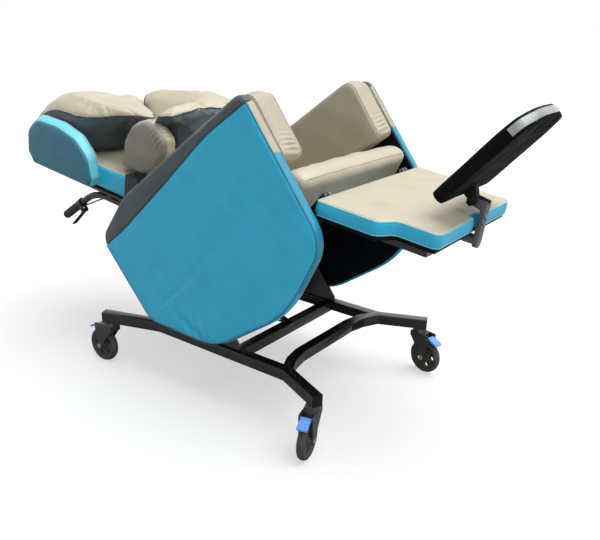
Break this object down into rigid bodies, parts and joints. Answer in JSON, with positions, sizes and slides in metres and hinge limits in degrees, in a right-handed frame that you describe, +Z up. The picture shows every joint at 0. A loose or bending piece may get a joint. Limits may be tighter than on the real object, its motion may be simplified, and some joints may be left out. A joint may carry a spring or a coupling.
{
  "type": "tilt in space wheelchair",
  "caption": "Tilt-in-space care chair with padded wings, arms, pillows and legrest on a black tube base with braked swivel casters.",
  "frame": {"origin": "centre of the overall box at floor level, with the chair tilted and reclined as pictured", "axes": "+Z up, -Y towards the footplate, -X towards the right hand of the person seated"},
  "size_m": [0.8902, 1.87, 1.034],
  "materials": {
    "black_frame": "gloss powder coat",
    "plugs": "satin moulded",
    "steel": "satin zinc",
    "rod": "hard chrome",
    "strut": "semi gloss",
    "fork": "satin",
    "tread": "matte",
    "pedal_blue": "gloss moulded",
    "board": "dark lining",
    "cream_vinyl": "coated upholstery, soft sheen",
    "teal_vinyl": "coated upholstery, soft sheen",
    "charcoal_vinyl": "coated upholstery, soft sheen",
    "grip_rubber": "matte",
    "black_plastic": "satin moulded",
    "grey_metal": "satin"
  },
  "bodies": {
    "base": {"base_frame": "black_frame", "rail_plugs": "plugs", "tilt_pins": "steel"},
    "front_right_caster": {"front_right_fork": "fork", "front_right_axle": "steel"},
    "front_right_roller": {"front_right_wheel": "tread"},
    "front_right_brake": {"front_right_pedal": "pedal_blue"},
    "front_left_caster": {"front_left_fork": "fork", "front_left_axle": "steel"},
    "front_left_roller": {"front_left_wheel": "tread"},
    "front_left_brake": {"front_left_pedal": "pedal_blue"},
    "rear_right_caster": {"rear_right_fork": "fork", "rear_right_axle": "steel"},
    "rear_right_roller": {"rear_right_wheel": "tread"},
    "rear_right_brake": {"rear_right_pedal": "pedal_blue"},
    "rear_left_caster": {"rear_left_fork": "fork", "rear_left_axle": "steel"},
    "rear_left_roller": {"rear_left_wheel": "tread"},
    "rear_left_brake": {"rear_left_pedal": "pedal_blue"},
    "tilt_strut_body": {"tilt_cylinder": "strut"},
    "tilt_strut_rod": {"tilt_rod": "rod"},
    "seat": {"seat_frame": "black_frame", "seat_board": "board", "seat_cushion": "cream_vinyl", "right_arm_panel": "teal_vinyl", "left_arm_panel": "teal_vinyl", "right_arm_band": "charcoal_vinyl", "left_arm_band": "charcoal_vinyl", "right_arm_board": "board", "left_arm_board": "board", "right_arm_pad": "cream_vinyl", "left_arm_pad": "cream_vinyl", "back_hinge_pins": "steel", "leg_hinge_pins": "steel"},
    "recline_strut_body": {"recline_cylinder": "strut"},
    "recline_strut_rod": {"recline_rod": "rod"},
    "back": {"back_frame": "black_frame", "back_board": "board", "back_cushion": "cream_vinyl", "right_wing": "teal_vinyl", "left_wing": "teal_vinyl", "head_pillow": "cream_vinyl", "back_pillow": "cream_vinyl", "push_handles": "black_frame", "right_grip": "grip_rubber", "left_grip": "grip_rubber", "lever_clamp": "black_frame", "release_cable": "grip_rubber"},
    "lever": {"release_lever": "black_plastic"},
    "right_lateral": {"right_lateral_pad": "cream_vinyl", "right_lateral_bracket": "black_frame"},
    "left_lateral": {"left_lateral_pad": "cream_vinyl", "left_lateral_bracket": "black_frame"},
    "leg": {"leg_frame": "black_frame", "leg_board": "board", "leg_pad": "teal_vinyl"},
    "foot_slide": {"foot_bracket": "grey_metal", "foot_pin": "black_plastic", "foot_bolts": "steel"},
    "foot": {"footplate": "black_plastic"}
  },
  "joints": [
    {"name": "front_right_swivel", "type": "hinge", "parent": "base", "child": "front_right_caster", "pos_m": [-0.347, -0.4851, 0.15], "axis": [0, 0, 1], "continuous": true},
    {"name": "front_right_roll", "type": "hinge", "parent": "front_right_caster", "child": "front_right_roller", "pos_m": [-0.38377, -0.49468, 0.0625], "axis": [0.2521, -0.9677, 0], "continuous": true},
    {"name": "front_right_brake_press", "type": "hinge", "parent": "front_right_caster", "child": "front_right_brake", "pos_m": [-0.39732, -0.49821, 0.139], "axis": [0.2521, -0.9677, 0], "range_deg": [0, 12]},
    {"name": "front_left_swivel", "type": "hinge", "parent": "base", "child": "front_left_caster", "pos_m": [0.347, -0.4851, 0.15], "axis": [0, 0, 1], "continuous": true},
    {"name": "front_left_roll", "type": "hinge", "parent": "front_left_caster", "child": "front_left_roller", "pos_m": [0.33839, -0.52211, 0.0625], "axis": [0.974, -0.2267, 0], "continuous": true},
    {"name": "front_left_brake_press", "type": "hinge", "parent": "front_left_caster", "child": "front_left_brake", "pos_m": [0.33521, -0.53575, 0.139], "axis": [0.974, -0.2267, 0], "range_deg": [0, 12]},
    {"name": "rear_right_swivel", "type": "hinge", "parent": "base", "child": "rear_right_caster", "pos_m": [-0.347, 0.3979, 0.15], "axis": [0, 0, 1], "continuous": true},
    {"name": "rear_right_roll", "type": "hinge", "parent": "rear_right_caster", "child": "rear_right_roller", "pos_m": [-0.34793, 0.43589, 0.0625], "axis": [-0.9997, -0.0244, 0], "continuous": true},
    {"name": "rear_right_brake_press", "type": "hinge", "parent": "rear_right_caster", "child": "rear_right_brake", "pos_m": [-0.34827, 0.44988, 0.139], "axis": [-0.9997, -0.0244, 0], "range_deg": [0, 12]},
    {"name": "rear_left_swivel", "type": "hinge", "parent": "base", "child": "rear_left_caster", "pos_m": [0.347, 0.3979, 0.15], "axis": [0, 0, 1], "continuous": true},
    {"name": "rear_left_roll", "type": "hinge", "parent": "rear_left_caster", "child": "rear_left_roller", "pos_m": [0.38377, 0.38832, 0.0625], "axis": [0.2521, 0.9677, 0], "continuous": true},
    {"name": "rear_left_brake_press", "type": "hinge", "parent": "rear_left_caster", "child": "rear_left_brake", "pos_m": [0.39732, 0.38479, 0.139], "axis": [0.2521, 0.9677, 0], "range_deg": [0, 12]},
    {"name": "tilt", "type": "hinge", "parent": "base", "child": "seat", "pos_m": [0, -0.0351, 0.32], "axis": [1, 0, 0], "range_deg": [0, 35]},
    {"name": "tilt_strut_swing", "type": "hinge", "parent": "base", "child": "tilt_strut_body", "pos_m": [0, -0.0951, 0.215], "axis": [1, 0, 0], "range_deg": [-1, 32]},
    {"name": "tilt_strut_stroke", "type": "slide", "parent": "tilt_strut_body", "child": "tilt_strut_rod", "axis": [0, -0.3609, 0.9326], "range_m": [-0.07, 0.002]},
    {"name": "recline", "type": "hinge", "parent": "seat", "child": "back", "pos_m": [0, 0.11897, 0.59759], "axis": [1, 0, 0], "range_deg": [0, 44.5]},
    {"name": "recline_strut_swing", "type": "hinge", "parent": "seat", "child": "recline_strut_body", "pos_m": [-0.06, 0.04863, 0.34595], "axis": [1, 0, 0], "range_deg": [-1, 5]},
    {"name": "recline_strut_stroke", "type": "slide", "parent": "recline_strut_body", "child": "recline_strut_rod", "axis": [0, 0.6267, 0.7792], "range_m": [-0.002, 0.083]},
    {"name": "legrest", "type": "hinge", "parent": "seat", "child": "leg", "pos_m": [0, -0.41462, 0.75357], "axis": [1, 0, 0], "range_deg": [-35, 40]},
    {"name": "footplate_height", "type": "slide", "parent": "leg", "child": "foot_slide", "axis": [0, 0.9934, 0.1149], "range_m": [-0.08, 0]},
    {"name": "footplate_angle", "type": "hinge", "parent": "foot_slide", "child": "foot", "pos_m": [0, -0.76308, 0.76358], "axis": [-1, 0, 0], "range_deg": [-20, 50]},
    {"name": "lever_squeeze", "type": "hinge", "parent": "back", "child": "lever", "pos_m": [-0.203, 0.68859, 0.49061], "axis": [1, 0, 0], "range_deg": [0, 10], "stiffness_Nm_per_rad": 0.6, "springref_deg": -2.86},
    {"name": "right_lateral_height", "type": "slide", "parent": "back", "child": "right_lateral", "axis": [0, 0.9914, 0.1305], "range_m": [-0.06, 0.03]},
    {"name": "left_lateral_height", "type": "slide", "parent": "back", "child": "left_lateral", "axis": [0, 0.9914, 0.1305], "range_m": [-0.06, 0.03]}
  ],
  "couplings": [
    {"joint": "tilt_strut_swing", "follows": "tilt", "ratio": 0.80016},
    {"joint": "tilt_strut_stroke", "follows": "tilt", "m_per_rad": -0.10531},
    {"joint": "recline_strut_swing", "follows": "recline", "ratio": 0.05339},
    {"joint": "recline_strut_stroke", "follows": "recline", "m_per_rad": 0.10137}
  ]
}
